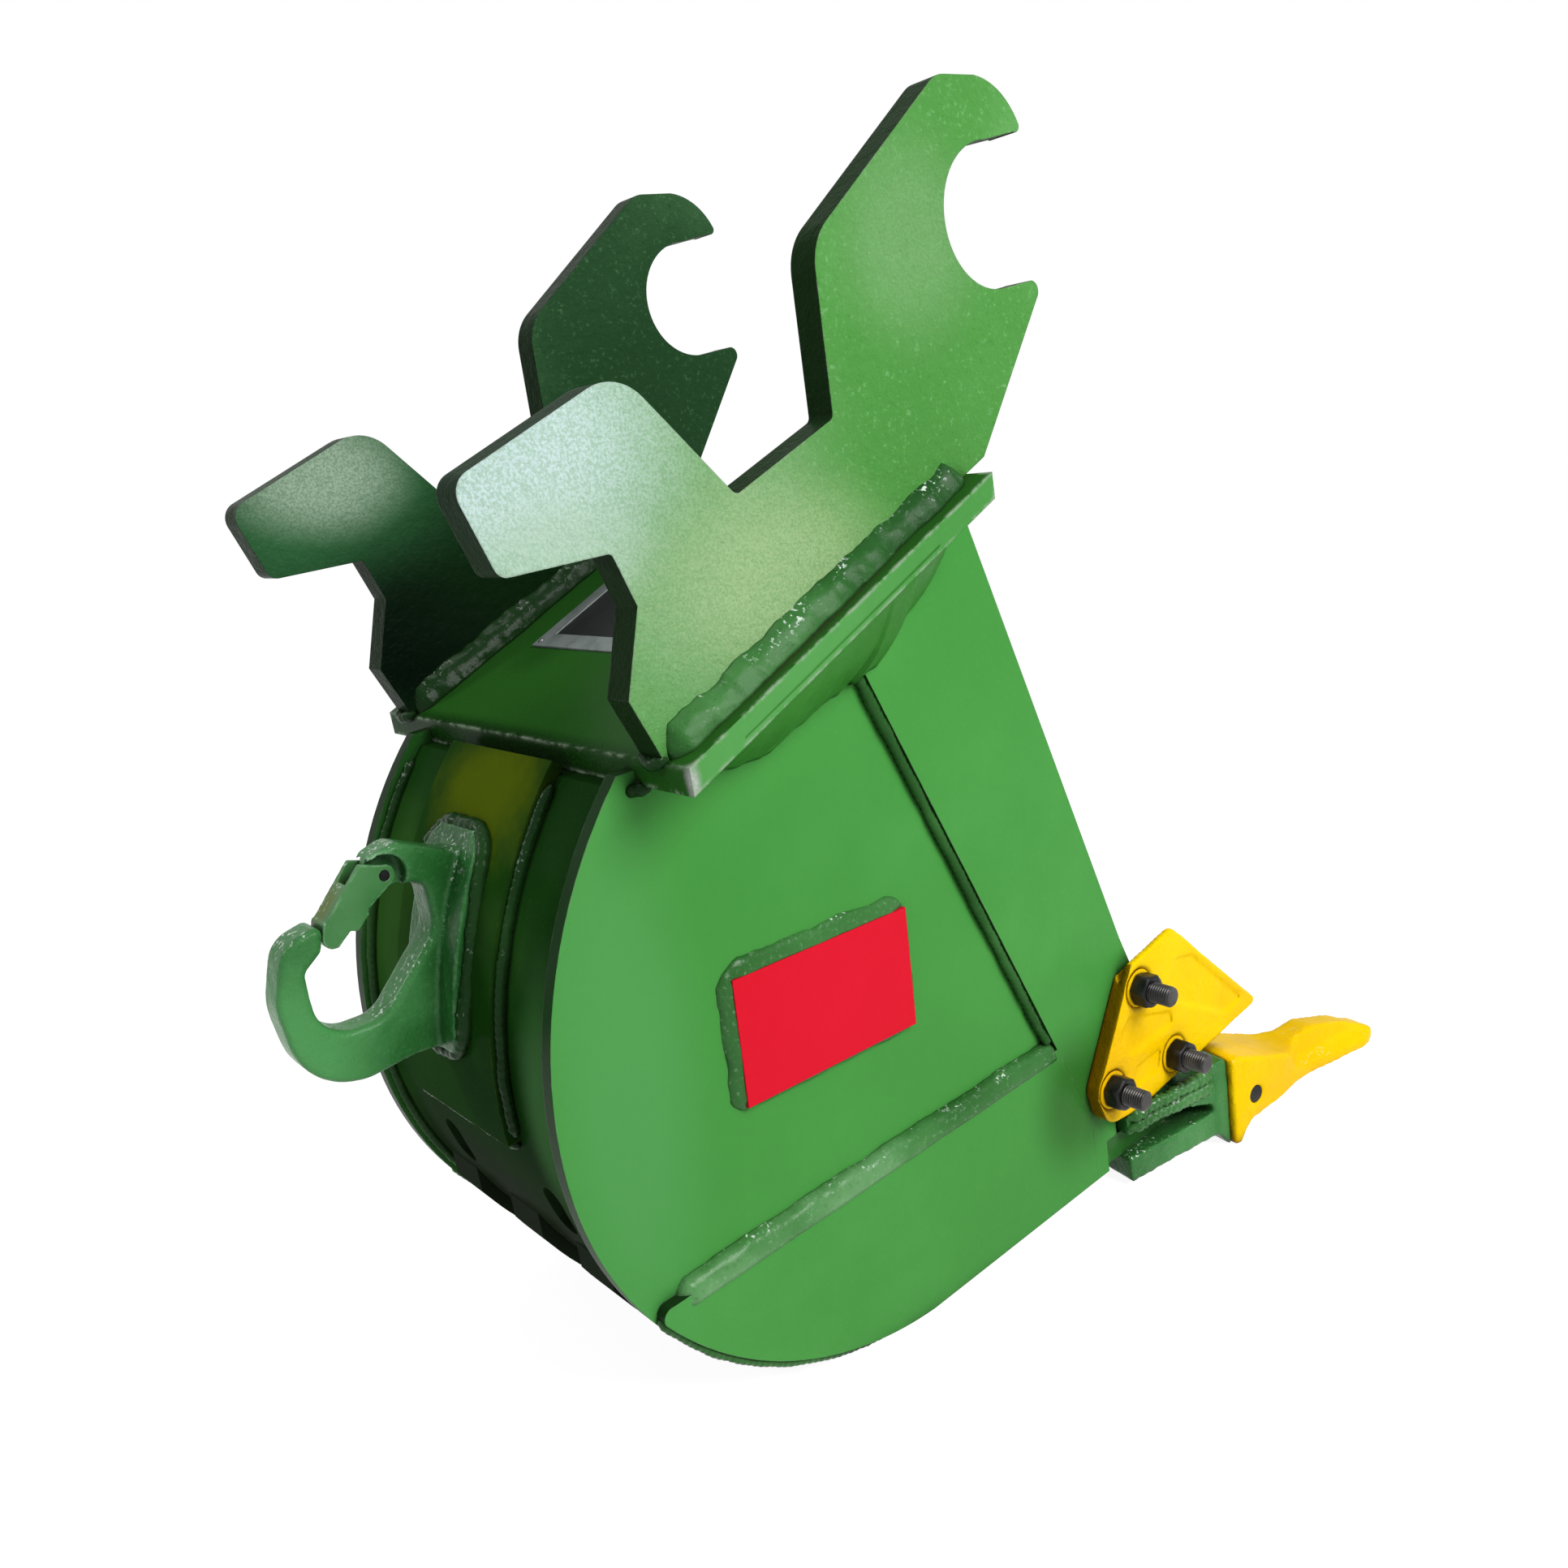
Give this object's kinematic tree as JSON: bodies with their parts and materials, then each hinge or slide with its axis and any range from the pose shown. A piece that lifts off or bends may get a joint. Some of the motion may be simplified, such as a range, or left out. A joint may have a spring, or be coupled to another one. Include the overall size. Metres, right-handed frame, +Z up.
{
  "type": "trenching bucket",
  "caption": "Narrow digging bucket with coupler ears, rolled shell, lifting hook with sprung latch, bolted side cutters and pinned teeth.",
  "frame": {"origin": "centre of the coupler pin seats, midway between the ears", "axes": "+Y along the coupler pin, +X towards the teeth, +Z up with the bucket standing on heel and teeth"},
  "size_m": [1.1015, 0.4818, 0.9785],
  "materials": {
    "green_paint": "glossy green enamel with orange peel over mill scale and welds",
    "yellow_paint": "glossy yellow enamel on cast steel",
    "black_steel": "black oxide steel, slightly oily",
    "red_plate": "smooth red enamel, blank",
    "bright_plate": "satin sheet with a dark blank field",
    "plain_steel": "plain drawn steel"
  },
  "bodies": {
    "bucket": {"ear_right": "green_paint", "ear_left": "green_paint", "base_plate": "green_paint", "side_plate_right": "green_paint", "side_plate_left": "green_paint", "side_bar_right": "green_paint", "side_bar_left": "green_paint", "side_wear_plate_right": "green_paint", "side_wear_plate_left": "green_paint", "wrapper": "green_paint", "heel_wear_strips": "green_paint", "lip_plate": "green_paint", "hook_pad": "green_paint", "lifting_hook": "green_paint", "adapter_right": "green_paint", "adapter_centre": "green_paint", "adapter_left": "green_paint", "ear_welds": "green_paint", "side_welds": "green_paint", "hook_welds": "green_paint", "overhang_welds": "green_paint", "name_plate_welds": "green_paint", "side_cutter_right": "yellow_paint", "side_cutter_left": "yellow_paint", "tooth_right": "yellow_paint", "tooth_centre": "yellow_paint", "tooth_left": "yellow_paint", "cutter_bolts": "black_steel", "cutter_washers": "black_steel", "cutter_nuts": "black_steel", "tooth_pins": "black_steel", "name_plate_right": "red_plate", "name_plate_left": "red_plate", "data_plate": "bright_plate", "data_plate_rivets": "bright_plate", "latch_pin": "plain_steel", "latch_spring": "plain_steel"},
    "latch": {"hook_latch": "green_paint"}
  },
  "joints": [
    {"name": "latch_hinge", "type": "hinge", "parent": "bucket", "child": "latch", "pos_m": [-0.46589, 0, -0.42322], "axis": [0, -1, 0], "range_deg": [0, 38], "stiffness_Nm_per_rad": 0.15, "springref_deg": -57.3, "deforming": ["latch_spring"]}
  ]
}
